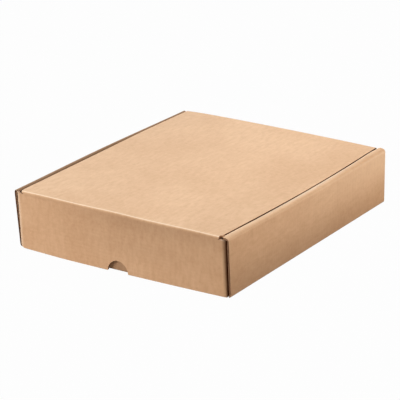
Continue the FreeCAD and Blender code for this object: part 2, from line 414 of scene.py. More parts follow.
WAVER_LEVEL = 0.85
WAVER_SWING = 0.35
print(f"The flap's lower edge stands out {FLAP_BOW / MM:.1f} mm, and the crease sags {FRONT_SAG / MM:.1f} mm")

# %% [markdown]
# The gaps beside the lid are where the eye measures it, so they have values of their
# own. The lid's edges move, and so do the inner shoulders of the rolled tops, each by
# a curve along its length. A curve's shape is four shares: of a level, a half sine,
# the square of that sine, and the cube of the length.

# %% The gaps beside the lid
LID_SPREAD = 1.0 * MM
SPREAD_SHAPE = (0.7, 1.0, 0.7, -1.6)
BACK_SPREAD = 2.6 * MM
LEFT_NARROW = 1.3 * MM
NARROW_FADE = (0.35, 0.75)
RIGHT_GAP = 0.9 * MM
GAP_SHAPE = (0.2, 1.3, 1.1, -0.2)
FAR_CORNER = (0.95, 0.98)
LEFT_GAP = 1.4 * MM
SHOULDER_LIFT = 1.3 * MM
SHOULDER_HOLLOW = 0.8
SOFT_LIFT = 1.2 * MM
LEFT_DIP = 1.4 * MM
LEFT_FALL = 0.8 * MM


def ease(value, low, high):
    """0 below low, 1 above high, and the smooth cubic 3t^2 - 2t^3 between."""
    t = np.clip((value - low) / (high - low), 0, 1)
    return t * t * (3 - 2 * t)


def between_corners(right, far, corners):
    """Two blends in a row: near left to near right, far left to far right, then near to far."""
    near = corners[0, 0] + (corners[0, 1] - corners[0, 0]) * right
    away = corners[1, 0] + (corners[1, 1] - corners[1, 0]) * right
    return near + (away - near) * far


def along_edge(length, level, swell, peak, fall):
    """A level, a half sine of the length, its square and the length's cube, in these shares."""
    wave = np.sin(math.pi * length)
    return level + swell * wave + peak * wave ** 2 + fall * length ** 3


def lid_spread(x, length):
    """How far the lid's points move in X, in proportion to an eased way out from its middle.

    The right edge moves outwards by its curve. The left edge moves inwards in the
    front half, and outwards towards the back with the cube of the length.
    """
    in_front_half = ease(length, *NEAR_CREASE) * (1 - ease(length, *NARROW_FADE))
    right = LID_SPREAD * ease(x, 0, LID_EDGE) * along_edge(length, *SPREAD_SHAPE)
    return right + ease(-x, 0, LID_EDGE) * (LEFT_NARROW * in_front_half - BACK_SPREAD * length ** 3)


def shoulder_shift(x, z, length, in_wall):
    """How far the inner shoulders of the rolled tops move in X, both outwards from the lid.

    The left one follows the lid's edge, with the cube of the length. The right one
    moves by its curve, and by more at the far corner. Both fade out downwards to the
    plies' top, and sideways to the wall's outer face.
    """
    left = (LEFT_GAP + (BACK_SPREAD - LEFT_GAP / 2) * length ** 3) * (x < 0) * in_wall
    right = RIGHT_GAP * ease(x, LID_EDGE, LID_EDGE + LID_PLAY)
    right = right * (along_edge(length, *GAP_SHAPE) + ease(length, *FAR_CORNER))
    return (right - left) * ease(z, PLY_TOP, ROLL_TOP) * (1 - ease(np.abs(x), LID_EDGE + LID_PLAY, WALL))


# %% Settling the walls, the lid and the flap
def settle_sideways(x, y, z, length, up, hangs):
    """How far a point moves in X.

    The tray's top and foot are skewed by their corner values, and a piece that hangs
    from the crease has its own, for its top and its foot. A side wall also bows
    outwards, by half of one minus the cosine of a full turn along it, in proportion
    to the height, and bulges by a half sine of the height, less only near its ends.
    The lid's spread and the shift of the rolled tops' shoulders are added.
    """
    right = (x / WALL + 1) / 2
    top, foot = between_corners(right, length, SKEW_TOP), between_corners(right, length, SKEW_FOOT)
    tray = top * up + foot * (1 - up)
    in_flap = hangs * (1 - ease(y, FRONT + BOARD, TRAY_FRONT + BOARD)) * (1 - ease(z, CREASE_FOOT, TOP))
    skew = tray + (between_corners(right, 1 - up, FLAP_SKEW) - tray) * in_flap
    in_wall = ease(np.abs(x), LID_EDGE, np.where(x > 0, LINING_FACE, LID_EDGE + LID_PLAY))
    bow = WALL_BOW * up * (1 - np.cos(2 * math.pi * length)) / 2
    bow = in_wall * (bow + WALL_BULGE * np.sin(math.pi * up) * (1 - (2 * length - 1) ** 4))
    in_lid = ease(z, PLY_TOP, TOP - BOARD) * (1 - in_wall)
    return skew + np.sign(x) * bow + lid_spread(x, length) * in_lid + shoulder_shift(x, z, length, in_wall)


def settle_upwards(x, z, length):
    """How far a point moves in Z.

    The lid follows half sines along its length: up in the middle and on the left,
    down on the right, with the square of the distance from its centre line. Towards
    the back it drops with the square of the length, and its far left corner by more,
    with high powers of both. Its front crease sags by a level and a sine across,
    which fades out short of the right corner and a little way behind the crease. The
    rolled top of the right wall rises towards its inner shoulder, least in the middle
    of its length. That of the left wall falls towards its own and, with the square
    of the length, towards the back, and its outer shoulder rises towards the front.
    """
    side = np.clip(x / LID_EDGE, -1, 1)
    left, right = np.maximum(-side, 0) ** 2, np.maximum(side, 0) ** 2
    wave = np.sin(math.pi * length)
    lid = wave * (LID_CROWN * (1 - side ** 2) + LEFT_RISE * left - RIGHT_SAG * right)
    lid -= length ** 2 * (BACK_DROP + BACK_CORNER_DROP * side ** 2) + RIGHT_DIP * right * (1 - length)
    lid -= LEFT_CORNER_DROP * length ** 6 * left ** 4
    waver = WAVER_LEVEL + WAVER_SWING * np.sin(2 * math.pi * (x - WAVER_START) / WAVER)
    lid -= FRONT_SAG * waver * (1 - ease(x, *SAG_FADE)) * (1 - ease(length, *NEAR_CREASE))
    in_wall = ease(np.abs(x), LID_EDGE, LINING_FACE - BOARD)
    in_lid = ease(z, PLY_TOP, TOP - BOARD) * (1 - in_wall)
    on_top = ease(z, PLY_TOP - BOARD, ROLL_TOP)
    to_inside = np.clip((WALL - np.abs(x)) / (WALL - LID_EDGE), 0, 1)
    right_roll = SHOULDER_LIFT * (1 - SHOULDER_HOLLOW * wave) * to_inside
    left_roll = SOFT_LIFT * (1 - to_inside) * (1 - length) - LEFT_DIP * to_inside - LEFT_FALL * length ** 2
    return lid * in_lid + np.where(x > 0, right_roll, left_roll) * in_wall * on_top


def settle(points, hangs):
    """Every point of the box after folding: sideways, forwards and upwards.

    Hangs is 1 for what hangs from the crease, and 0 for the rest. Forwards, the flap
    moves by its bow and the tray's front wall by a smaller one, times one minus the
    square of the distance from the bow's middle, times the share of the depth below
    the crease to the bow's power.
    """
    x, y, z = points.T
    up = np.clip(z / TOP, 0, 1)
    length = np.clip((y - TRAY_FRONT) / (WALL_BACK - TRAY_FRONT), 0, 1)
    from_middle = (x / EAR_FACE - BOW_MIDDLE) / (1 - BOW_MIDDLE)
    in_front_wall = (1 - ease(y, TRAY_FRONT, TRAY_FRONT + BOW_FADE)) * \
        (1 - ease(np.abs(x), 0.8 * TRAY_CORNER, TRAY_CORNER))
    bow = FLAP_BOW * hangs * (1 - ease(y, FRONT + BOARD, TRAY_FRONT)) + TRAY_BOW * (1 - hangs) * in_front_wall
    moved = points.copy()
    moved[:, 0] += settle_sideways(x, y, z, length, up, hangs)
    moved[:, 1] -= bow * np.clip(1 - from_middle ** 2, 0, 1) * (1 - up) ** BOW_POWER
    moved[:, 2] += settle_upwards(x, z, length)
    return moved


lid_corner = np.array([[LID_EDGE, WALL_BACK, TOP]])
print("The lid's far right corner moves, in mm:", np.round((settle(lid_corner, 0) - lid_corner) / MM, 2))

# %% [markdown]
# ## One object from several stretches
#
# All stretches of one body become one mesh. Two things travel with each point: its
# place on the flat sheet, as a UV map in metres, so that the paper's grain runs
# round a fold as it does on the real sheet, and three attributes: fold says how much
# paler the paper is painted, partly as rubbed creases and partly as painted
# highlights and painted light, cut whether the point is on a cut edge, and tone how
# much painted shade darkens the board there, where it lies in a gap or turns away
# from the light.

# %% Meshes from arrays
SHARP_ANGLE = math.radians(38)


def make_object(name, stretches, hangs=0):
    """One mesh object: the stretches' arrays end to end, each point settled.

    A stretch's faces are shifted by the number of points before it. Edges that turn
    by more than the sharp angle are shaded as edges, and the rest is smooth.
    """
    points, faces, shift = [], [], 0
    for stretch in stretches:
        points.append(stretch["points"])
        faces.append(stretch["faces"] + shift)
        shift += len(stretch["points"])
    points, faces = settle(np.concatenate(points), hangs), np.concatenate(faces)
    mesh = bpy.data.meshes.new(name)
    mesh.vertices.add(len(points))
    mesh.vertices.foreach_set("co", points.ravel())
    mesh.loops.add(faces.size)
    mesh.loops.foreach_set("vertex_index", faces.ravel())
    mesh.polygons.add(len(faces))
    mesh.polygons.foreach_set("loop_start", np.arange(0, faces.size, 4))
    flat = np.concatenate([stretch["flat"] for stretch in stretches])
    layer = mesh.uv_layers.new(name="flat_sheet")
    layer.data.foreach_set("uv", flat[faces.ravel()].ravel().astype(np.float32))
    for key in ("fold", "cut", "tone"):
        values = np.concatenate([stretch[key] for stretch in stretches]).astype(np.float32)
        mesh.attributes.new(key, "FLOAT", "POINT").data.foreach_set("value", values)
    mesh.update(calc_edges=True)
    mesh.validate()
    mesh.shade_smooth()
    mesh.set_sharp_from_angle(angle=SHARP_ANGLE)
    piece = bpy.data.objects.new(name, mesh)
    bpy.context.scene.collection.objects.link(piece)
    print(f"{name}: {len(faces)} faces, {len(stretches)} closed shells")
    return piece


# %% [markdown]
# ## The tray and the lid
#
# The long stretch starts at the top of the low front wall, goes down, along the
# bottom, up the back wall and over to the front edge of the lid. It is one grid as
# wide as the bottom. The end walls and the lid are narrower, so cells beside them
# are left out, and so are the four slots that take the lock tabs.
#
# A number that ends in TONE says how much painted shade darkens the board somewhere,
# from 0 to 1. A number for paler paper says how much paler it is painted: at a crease
# partly as the rubbing of the crease and partly as a painted highlight, elsewhere as
# a painted highlight or painted light alone.

# %% The long stretch
COLUMN_STEP = 9 * MM
LID_SEAT = 0.3 * MM
FOOT_GAP = 0.3 * MM
LOCK_LENGTH = 38.0 * MM
LOCK_SPACING = 150.0 * MM
LOCK_PLAY = 0.3 * MM
LOCK_RECESS = 0.3 * MM
CREASE_TAIL = 1.5 * MM
# Painted shade: on the low front wall and its top corners, in the cut edges in the gaps, and towards the
# lid's right edge.
SHADE_TONE = 0.4
CORNER_TONE = 0.8
GAP_TONE = 1.0
NEAR_GAP_SHARE = 0.4
LID_TONE = 0.06

BOTTOM_EDGE = WALL - BEND
FRONT_FOLD = TRAY_FRONT + BEND
BACK_FOLD = BACK - BEND
LID_STOP = FRONT + BEND + CREASE_TAIL
LOCK_MIDDLES = (-LOCK_SPACING / 2, LOCK_SPACING / 2)
LOCK_ENDS = [middle + end * LOCK_LENGTH / 2 for middle in LOCK_MIDDLES for end in (-1, 1)]
SLOT_ENDS = [middle + end * (LOCK_LENGTH / 2 + LOCK_PLAY) for middle in LOCK_MIDDLES for end in (-1, 1)]


def strip(path, axes, span, along, mirror=1):
    """A straight strip: the path carried along the third axis, from one value to the next.

    Returns the middle surface and the facing directions, mirrored in X where asked,
    and how much paler each point's paper is painted in a fold, partly as a rubbed
    crease and partly as a painted highlight. Along holds the values on the third axis.
    """
    low, high = span
    middle, facing = grid_across(path, axes, low, high, (along - low) / (high - low))
    flip = np.array([mirror, 1, 1])
    return middle * flip, facing * flip, np.broadcast_to(path[3][:, None], middle.shape[:2])


def cell_centres(middle):
    """The middle of each cell: the mean of two opposite corners."""
    return (middle[:-1, :-1] + middle[1:, 1:]) / 2


def sheet_place(across_flutes, along_flutes):
    """Places on the flat sheet: u along the flutes and v across them, in metres."""
    return np.stack(np.broadcast_arrays(along_flutes, across_flutes), axis=-1)


def in_spans(values, ends):
    """True where a value lies between two ends, for any pair of ends."""
    return np.any([(values > a) & (values < b) for a, b in zip(ends[::2], ends[1::2])], axis=0)


def long_tones(middle):
    """How much painted shade darkens the long stretch's faces and cut edges.

    The low front wall shows only through the thumb notch and the flap's slots, so it
    is painted in shade, and more near its top. The lid is painted a little darker
    towards its right edge, as painted shade. Cut edges on the left are wholly painted
    dark as painted shade. On the right they start at a share of that at the front and
    ease up to it on the way back.
    """
    x, y, z = np.moveaxis(middle, -1, 0)
    in_front = (y < FRONT_FOLD - HALF) & (z < TOP - BOARD)
    deeper = (CORNER_TONE - SHADE_TONE) * ease(z, 0.6 * TOP, 0.9 * TOP)
    front = (SHADE_TONE * ease(z, 0, BEND) + deeper) * in_front
    lid = LID_TONE * ease(x, 0.2 * LID_EDGE, 0.9 * LID_EDGE) * (z > PLY_TOP)
    open_gap = np.maximum(ease(y, FRONT, 0.3 * FRONT), x < 0)
    return np.maximum(front, lid), GAP_TONE * (NEAR_GAP_SHARE + (1 - NEAR_GAP_SHARE) * open_gap)


def long_stretch():
    """Front wall, bottom, back wall and lid as one board, with flute ends at the lid's sides.

    The path runs through the middle of each wall. A cell is left out where it is
    above the plies and beside the lid, in an end wall beyond its corner, or in a slot
    for a lock tab. Returns the closed shells and the path.
    """
    front_y, back_y, lid_z = TRAY_FRONT + HALF, BACK - HALF, TOP - HALF
    corners = [(front_y, TOP - BOARD - LID_SEAT), (front_y, PLY_TOP), (front_y, HALF)]
    corners += [(y, HALF) for y in SLOT_ENDS]
    corners += [(back_y, HALF), (back_y, PLY_TOP), (back_y, lid_z), (LID_STOP, lid_z)]
    path = folded_path(corners)
    slot_in, slot_out = LINING_FACE - BOARD - LOCK_PLAY, LINING_FACE + LOCK_PLAY
    edges = (LID_EDGE, TRAY_CORNER, slot_in, slot_out)
    x = with_stops(-BOTTOM_EDGE, BOTTOM_EDGE, [s * edge for s in (-1, 1) for edge in edges], COLUMN_STEP)
    middle, facing, fold = strip(path, (1, 2, 0), (-BOTTOM_EDGE, BOTTOM_EDGE), x)
    flat = sheet_place(path[2][:, None], x[None, :])
    side, y, z = np.moveaxis(cell_centres(middle), -1, 0)
    side = np.abs(side)
    end_wall = (y < FRONT_FOLD) | (y > BACK_FOLD)
    in_slot = (side > slot_in) & (side < slot_out) & (z < BOARD) & in_spans(y, SLOT_ENDS)
    keep = ~(((z > PLY_TOP) & (side > LID_EDGE)) | (end_wall & (side > TRAY_CORNER)) | in_slot)

    def butted(at):
        """Edges that meet a side wall, a corner tab or the front crease."""
        to_walls = np.isclose(np.abs(at[:, 0]), BOTTOM_EDGE)
        to_tabs = np.isclose(np.abs(at[:, 0]), TRAY_CORNER) & (at[:, 2] > BEND)
        to_crease = np.isclose(at[:, 1], LID_STOP) & (at[:, 2] > PLY_TOP)
        return to_walls | to_tabs | to_crease

    shells = [board(middle, facing, flat, fold, keep, butted, *long_tones(middle))]
    lid = np.flatnonzero((middle[:, 0, 2] > PLY_TOP) & (middle[:, 0, 1] > FRONT_FOLD))
    for sign in (-1, 1):
        column = np.argmin(np.abs(x - sign * LID_EDGE))
        inward = np.tile([-sign, 0, 0], (len(lid), 1))
        # The flute ends in the gaps beside the lid are painted dark as painted shade.
        shells.append(fluting(middle[lid, column], facing[lid, column], flat[lid, column], inward, GAP_TONE))
    return shells, path


long_shells, long_path = long_stretch()
print(f"The long stretch is {long_path[2][-1] / MM:.0f} mm of sheet")

# %% [markdown]
# ## The side walls
#
# A side wall is one stretch that goes up outside, rolls over at the top with two
# creases and comes down again as the lining, whose two tabs stand in the slots of
# the bottom. The outer shoulder of the roll is softer than the other creases,
# because the board there was never scored deeply. The left wall is the right one
# with its X turned round, apart from that shoulder and the painted light and shade:
# its roll is painted dark as painted shade, while the right wall's upper face is
# painted paler towards the back as painted light, its roll is painted pale beside
# the gap as a painted highlight and darker towards its outer shoulder as painted
# shade. Both walls are painted darker towards their foot, as painted shade.

# %% Side walls with their linings
SOFT_SHOULDER = {-1: 2.4 * MM, 1: 1.9 * MM}
TIGHT = 1.05 * MM
# Painted shade on the left roll, the walls' cut edges, both walls' feet and the right roll. Painted light on
# the right outer ply, and a painted highlight beside the gap.
LEFT_TONE = 0.84
FRONT_EDGE_TONE = 0.4
FOOT_TONE = 0.26
ROLL_TONE = 0.33
UPPER_SIDE_PAINTED_LIGHT = 0.36
GAP_PAINTED_HIGHLIGHT = 0.42
SHOULDER_RUB_AND_HIGHLIGHT = 0.7
LEFT_ROLL_FADE = 0.45
FAR_ROLL_SHADE = 0.6
GAP_HIGHLIGHT_FADE = 0.8
SIDE_STEP = 1.3 * MM
WALL_FRONT = TRAY_FRONT - SIDE_STEP

OUTER_PLY, LINING_PLY, ROLL_PLY = WALL - HALF, LINING_FACE - HALF, ROLL_TOP - HALF


def side_tones(middle, length, sign):
    """How much painted shade darkens a side wall's faces and cut edges, and how much paler its paper is
    painted.

    Share is the way across the roll, from its inner to its outer shoulder. The outer
    ply is painted darker towards its foot, as painted shade. The left roll is painted
    dark as painted shade, less towards its outer shoulder. The right roll is painted
    darker with the fourth power of the share and, on the rest of it, with the cube of
    the length, also as painted shade. The right outer ply is painted paler with the
    height and the length, as painted light, and the right roll beside the gap gets a
    painted highlight, less towards the back.
    """
    at_side, at_height = np.abs(middle[..., 0]), middle[..., 2]
    share = np.clip((at_side - LINING_PLY) / (OUTER_PLY - LINING_PLY), 0, 1)
    # Painted shade, darker towards the foot of the outer ply.
    painted_foot_shade = FOOT_TONE * (1 - ease(at_height, 0, 0.75 * TOP)) * (at_side > LINING_PLY + MIDDLE)
    if sign < 0:
        # Painted shade on the left roll, lighter towards its outer shoulder.
        on_roll = ease(at_height, PLY_TOP, ROLL_PLY) * (1 - LEFT_ROLL_FADE * ease(share, 0, 1))
        return np.maximum(painted_foot_shade, LEFT_TONE * on_roll), LEFT_TONE, np.zeros_like(share)
    soft = SOFT_SHOULDER[sign]
    # Painted shade on the right roll, darker towards its outer shoulder and towards the back.
    roll_shade = share ** 4 + (1 - share ** 4) * FAR_ROLL_SHADE * length ** 3 * ease(share, 0.1, 0.4)
    roll_shade *= ROLL_TONE * ease(at_height, ROLL_PLY - soft, ROLL_PLY - 0.2 * soft)
    # Painted light on the right outer ply, towards its top and the back, and a painted highlight on the roll
    # beside the gap.
    pale = UPPER_SIDE_PAINTED_LIGHT * ease(at_height, 0.1 * TOP, 0.9 * TOP) * ease(at_side, OUTER_PLY - HALF, OUTER_PLY)
    highlight_beside_gap = GAP_PAINTED_HIGHLIGHT * (1 - ease(share, 0, 0.3)) * (1 - GAP_HIGHLIGHT_FADE * length) * (at_height > PLY_TOP)
    return np.maximum(painted_foot_shade, roll_shade), FRONT_EDGE_TONE, np.maximum(pale * length ** 1.5, highlight_beside_gap)


def side_stretch(sign):
    """Outer ply, rolled top, lining and lock tabs of one side wall.

    The path goes through the middle of each ply. Above the bottom's bend, the lining
    is shorter than the outer ply at both ends, and at its foot only the lock tabs
    are left. Sign is -1 for the left wall and 1 for the right one.
    """
    foot_z = BOARD + FOOT_GAP
    # The roll's inner shoulder is painted paler, partly as a rubbed crease and partly as a painted highlight.
    path = folded_path([(BOTTOM_EDGE, HALF), (OUTER_PLY, HALF), (OUTER_PLY, ROLL_PLY), (LINING_PLY, ROLL_PLY),
                        (LINING_PLY, foot_z), (LINING_PLY, LOCK_RECESS)],
                       radius=(MIDDLE, SOFT_SHOULDER[sign], TIGHT, MIDDLE),
                       rub_and_highlight=(0, 0, SHOULDER_RUB_AND_HIGHLIGHT, 0))
    lining_ends = (TRAY_FRONT + BOARD + END_PLAY, BACK - BOARD - END_PLAY)
    y = with_stops(WALL_FRONT, WALL_BACK, [*lining_ends, *LOCK_ENDS])
    middle, facing, fold = strip(path, (0, 2, 1), (WALL_FRONT, WALL_BACK), y, sign)
    flat = sheet_place(y[None, :], BOTTOM_EDGE + path[2][:, None])
    side, along, z = np.moveaxis(cell_centres(middle), -1, 0)
    in_lining = np.abs(side) < LINING_PLY + MIDDLE
    keep = ~(in_lining & (z > BEND) & ~in_spans(along, lining_ends))
    keep &= ~(in_lining & (z < foot_z) & ~in_spans(along, LOCK_ENDS))

    def butted(at):
        """Edges that meet the bottom."""
        return np.isclose(np.abs(at[:, 0]), BOTTOM_EDGE) & (at[:, 2] < BEND)

    tone, edge_tone, paleness = side_tones(middle, (y - WALL_FRONT) / (WALL_BACK - WALL_FRONT), sign)
    return board(middle, facing, flat, np.maximum(fold, paleness), keep, butted, tone, edge_tone)


# %% [markdown]
# Both end walls carry a tab at each side. The tab turns round the corner and stands
# between the outer ply and the lining, where it keeps the wall upright.

# %% Corner tabs
TAB_REACH = 38.0 * MM


def corner_tab(sign, end):
    """The tab that turns from an end wall in between the plies of a side wall.

    End is -1 at the front and 1 at the back. The path turns the same way round the
    box at both, so at the back it runs from the tab to the wall.
    """
    wall_y, reach_y = TRAY_FRONT + HALF, FRONT_FOLD + TAB_REACH
    if end > 0:
        wall_y, reach_y = BACK - HALF, BACK_FOLD - TAB_REACH
    corners = [(TRAY_CORNER, wall_y), (TAB_FACE - HALF, wall_y), (TAB_FACE - HALF, reach_y)]
    path = folded_path(corners if end < 0 else corners[::-1])
    z = with_stops(BEND, PLY_TOP, [], COLUMN_STEP)
    middle, facing, fold = strip(path, (0, 1, 2), (BEND, PLY_TOP), z, sign)
    flat = sheet_place(z[None, :], TRAY_CORNER + path[2][:, None])
    return board(middle, facing, flat, fold, None, lambda at: np.isclose(np.abs(at[:, 0]), TRAY_CORNER))


tray_shells = [side_stretch(sign) for sign in (-1, 1)]
tray_shells += [corner_tab(sign, end) for sign in (-1, 1) for end in (-1, 1)]
box_sheet = make_object("box_sheet", long_shells + tray_shells)
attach(box_sheet, "box")
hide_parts("box")

# %% [markdown]
# ## The front flap
#
# Seen from above, the flap is one path: from the end of the left ear forwards,
# round the corner, across the front, round the other corner and back along the
# right ear. Its lower and upper edges are heights that change along that path: the
# thumb notch and the rounded corners are circles, and the ears are cut to the
# circle that they swing in about the crease, so that they slide out of their slots
# without catching. The fold at its left side is tight and painted pale, partly as a
# rubbed crease and partly as a painted highlight. The one at its right side is soft
# and turns away from the light, and the face beside it is painted darker as painted
# shade.

# %% The flap and its ears
EAR_REACH = 36.0 * MM
EAR_LIFT = 8.0 * MM
EAR_CLEAR = 1.2 * MM
LEFT_ROUND = 5.6 * MM
LEFT_LIFT = 0.8 * MM
# Painted highlight on the face beside the left fold.
LEFT_FOLD_PAINTED_HIGHLIGHT = 0.5
RIGHT_ROUND = 1.5 * MM
NOTCH_RADIUS = 12.0 * MM
NOTCH_HEIGHT = -0.4 * MM
NOTCH_MIDDLE = -2.7 * MM
NOTCH_STEPS = 32
FLAP_STEP = 3 * MM
LEFT_SHOULDER = ROLL_TOP - 0.3 * MM
RIGHT_SHOULDER = ROLL_TOP - 1.9 * MM
RIGHT_FOLD = 1.8 * MM
# The left fold is painted paler, partly as a rubbed crease and partly as a painted highlight.
SIDE_FOLD_RUB_AND_HIGHLIGHT = 0.7
# Painted highlight along the top edges of the flap's shoulders.
SHOULDER_EDGE_PAINTED_HIGHLIGHT = 0.8
HIGHLIGHT_REACH = 2.5 * MM
# Painted shade beside the right fold, in the slots, on the face towards its top, and under the crease.
TURN_TONE = 0.74
TURN_REACH = 3.8 * MM
FACE_TONE = 0.12
FACE_FADE = 0.4
UNDER_TONE = 0.12
CREASE_TONE = 0.2
CREASE_SHADE_START = (1.2 * MM, 2.6 * MM)
CREASE_SHADE_END = 2.5 * MM
SHOULDER_IN = LID_EDGE + LID_PLAY
EAR_TOP = PLY_TOP - 0.4 * MM
CLOSE_BY = 0.1 * MM
HEIGHT_SHARES = np.concatenate([np.linspace(0, 0.96, 12), [0.985, 1]])


def circle_height(offset, radius):
    """Half the chord of a circle: the root of radius squared less offset squared."""
    return np.sqrt(np.maximum(radius ** 2 - offset ** 2, 0))


def flap_edges(points, facings):
    """The flap's lower and upper heights at each point of its path.

    The lower edge is the highest of its foot, which rises a little to the left, the
    notch's circle and the two corners' circles. In the ears it is the circle about
    the crease, or the ears' lift where that is higher. The upper edge is the crease's
    foot under the lid, a shoulder at each side of it, and the ears' own top.
    """
    x, y = (points + facings * HALF).T
    from_notch = x - NOTCH_MIDDLE
    foot = FLAP_LIFT + LEFT_LIFT * ease(-x, 0.5 * EAR_FACE, EAR_FACE)
    low = np.maximum(foot, NOTCH_HEIGHT + circle_height(from_notch, NOTCH_RADIUS) *
                     (np.abs(from_notch) < NOTCH_RADIUS))
    for sign, corner in ((-1, LEFT_ROUND), (1, RIGHT_ROUND)):
        past = np.clip(sign * x - (EAR_FACE - corner), 0, corner)
        low = np.maximum(low, foot + corner - circle_height(past, corner))
    sweep = TOP - circle_height(y - FRONT, TOP - BOARD - EAR_CLEAR)
    in_ear = y > FRONT + BEND
    low = np.where(in_ear, np.maximum(EAR_LIFT * ease(y, FRONT + BEND, FRONT + EAR_LIFT), sweep), low)
    high = np.where(np.abs(x) < SHOULDER_IN - CLOSE_BY, CREASE_FOOT,
                    np.where(x < 0, LEFT_SHOULDER, RIGHT_SHOULDER))
    return low, np.where(in_ear, EAR_TOP, high)


def under_crease(middle):
    """How much painted shade darkens the board just under the crease.

    It starts a little below the top, fades out again a little below the crease's
    foot, and doubles from left to right.
    """
    x, z = middle[..., 0], middle[..., 2]
    strength = CREASE_TONE * (0.5 + 0.5 * ease(x, -WALL, WALL))
    fading = ease(z, CREASE_FOOT - CREASE_SHADE_END, CREASE_FOOT)
    return strength * ease(TOP - z, *CREASE_SHADE_START) * fading


def flap_tones(middle):
    """How much painted shade darkens the flap.

    Behind a side fold, the ear is painted dark where it goes into its slot, and that
    fades out inside. The face is painted darker towards its top, least so at its left,
    and darkest beside the right fold, over a stretch that widens with the height. Under
    the crease it is at least as dark as the crease's own painted shade at its foot. All
    of it is painted shade.
    """
    x, y, z = np.moveaxis(middle, -1, 0)
    in_slot = ease(y, FRONT + 1.1 * HALF, FRONT + 1.7 * HALF) * (1 - ease(y, TRAY_FRONT, 0.85 * FRONT))
    face = FACE_TONE * ease(z, 0.1 * TOP, 0.55 * TOP) * (1 - FACE_FADE * ease(x, 0, WALL))
    face += UNDER_TONE * ease(z, 0.6 * TOP, 0.95 * TOP)
    face *= ease(x, -WALL, 0.3 * WALL)
    turn = TURN_REACH * (1 + z / TOP)
    face = np.maximum(face, TURN_TONE * ease(x, EAR_FACE - turn, EAR_FACE))
    return np.maximum(in_slot, np.maximum(face, under_crease(middle)) * (y < FRONT + BOARD))


def flap_stretch():
    """The face with its notch, shoulders, side folds and ears, and the flutes at the ears' ends.

    The grid's rows stand along the path, over the notch at equal angles of its
    circle, and its columns share out the height between the lower and the upper
    edge. The flutes run along the path, so they end at the ears' upright ends, which
    are the first and the last row.
    """
    side_x, front_y, ear_end = EAR_FACE - HALF, FRONT + HALF, FRONT + BEND + EAR_REACH
    notch = NOTCH_MIDDLE + NOTCH_RADIUS * np.sin(np.linspace(-math.pi / 2, math.pi / 2, NOTCH_STEPS + 1))
    stops = np.concatenate([[-SHOULDER_IN, -LID_EDGE], notch, [LID_EDGE, SHOULDER_IN]])
    corners = [(-side_x, ear_end), (-side_x, front_y)] + [(x, front_y) for x in stops]
    bends = [TIGHT] + [MIDDLE] * len(stops) + [RIGHT_FOLD]
    path = folded_path(corners + [(side_x, front_y), (side_x, ear_end)], bends,
                       [SIDE_FOLD_RUB_AND_HIGHLIGHT] + [0] * (len(stops) + 1), step=FLAP_STEP)
    low, high = flap_edges(path[0], path[1])
    middle, facing = grid_across(path, (0, 1, 2), low, high, HEIGHT_SHARES)
    on_face = middle[..., 1] < FRONT + BOARD
    on_shoulder = (np.abs(middle[..., 0]) > SHOULDER_IN) & on_face
    # Painted highlights along the shoulders' top edges and on the face beside the left fold; the left fold
    # itself is partly rubbed, partly a painted highlight.
    fold = np.maximum(path[3][:, None], SHOULDER_EDGE_PAINTED_HIGHLIGHT * (HEIGHT_SHARES == 1) * on_shoulder)
    beside_fold = 1 - ease(middle[..., 0] + EAR_FACE, HALF, HALF + HIGHLIGHT_REACH)
    fold = np.maximum(fold, LEFT_FOLD_PAINTED_HIGHLIGHT * beside_fold * on_face)
    flat = sheet_place(middle[..., 2], path[2][:, None])

    def butted(at):
        """Edges that meet the front crease."""
        under_lid = (at[:, 1] < FRONT + BOARD) & (np.abs(at[:, 0]) < LID_EDGE + CLOSE_BY)
        return under_lid & (at[:, 2] > CREASE_FOOT - CLOSE_BY)

    shells = [board(middle, facing, flat, fold, None, butted, flap_tones(middle))]
    for row in (0, -1):
        inward = np.tile([0, -1, 0], (middle.shape[1], 1))
        shells.append(fluting(middle[row], facing[row], flat[row], inward))
    return shells


front_flap_sheet = make_object("front_flap_sheet", flap_stretch(), hangs=1)
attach(front_flap_sheet, "front_flap")
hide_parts("front_flap")

# %% [markdown]
# ## The front crease
#
# The lid and the flap are one sheet, so the crease between them has to bend when
# the flap swings up. Here it is a small piece of its own, built in its place at rest
# and settled like the flap.

# %% The crease between lid and flap
LEFT_SHORT = 0.6 * MM
RIGHT_SHORT = 1.6 * MM
# The front crease is painted paler, partly as a rubbed crease and partly as a painted highlight.
FRONT_CREASE_RUB_AND_HIGHLIGHT = 0.8
CREASE_STEP = 0.5 * MM

crease_left, crease_right = LEFT_SHORT - LID_EDGE, LID_EDGE - RIGHT_SHORT
crease_path = folded_path([(LID_STOP, TOP - HALF), (FRONT + HALF, TOP - HALF),
                           (FRONT + HALF, CREASE_FOOT)], TIGHT, FRONT_CREASE_RUB_AND_HIGHLIGHT, CREASE_STEP)
crease_x = with_stops(crease_left, crease_right, [], COLUMN_STEP)
middle, facing, fold = strip(crease_path, (1, 2, 0), (crease_left, crease_right), crease_x)
crease_flat = sheet_place(long_path[2][-1] + crease_path[2][:, None], crease_x[None, :])
# The crease's lower part carries painted shade, from under_crease.
crease_shell = board(middle, facing, crease_flat, fold, None,
                     lambda at: np.abs(at[:, 0]) < crease_right - CLOSE_BY, under_crease(middle))
front_crease = make_object("front_crease", [crease_shell], hangs=1)
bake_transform(front_crease)

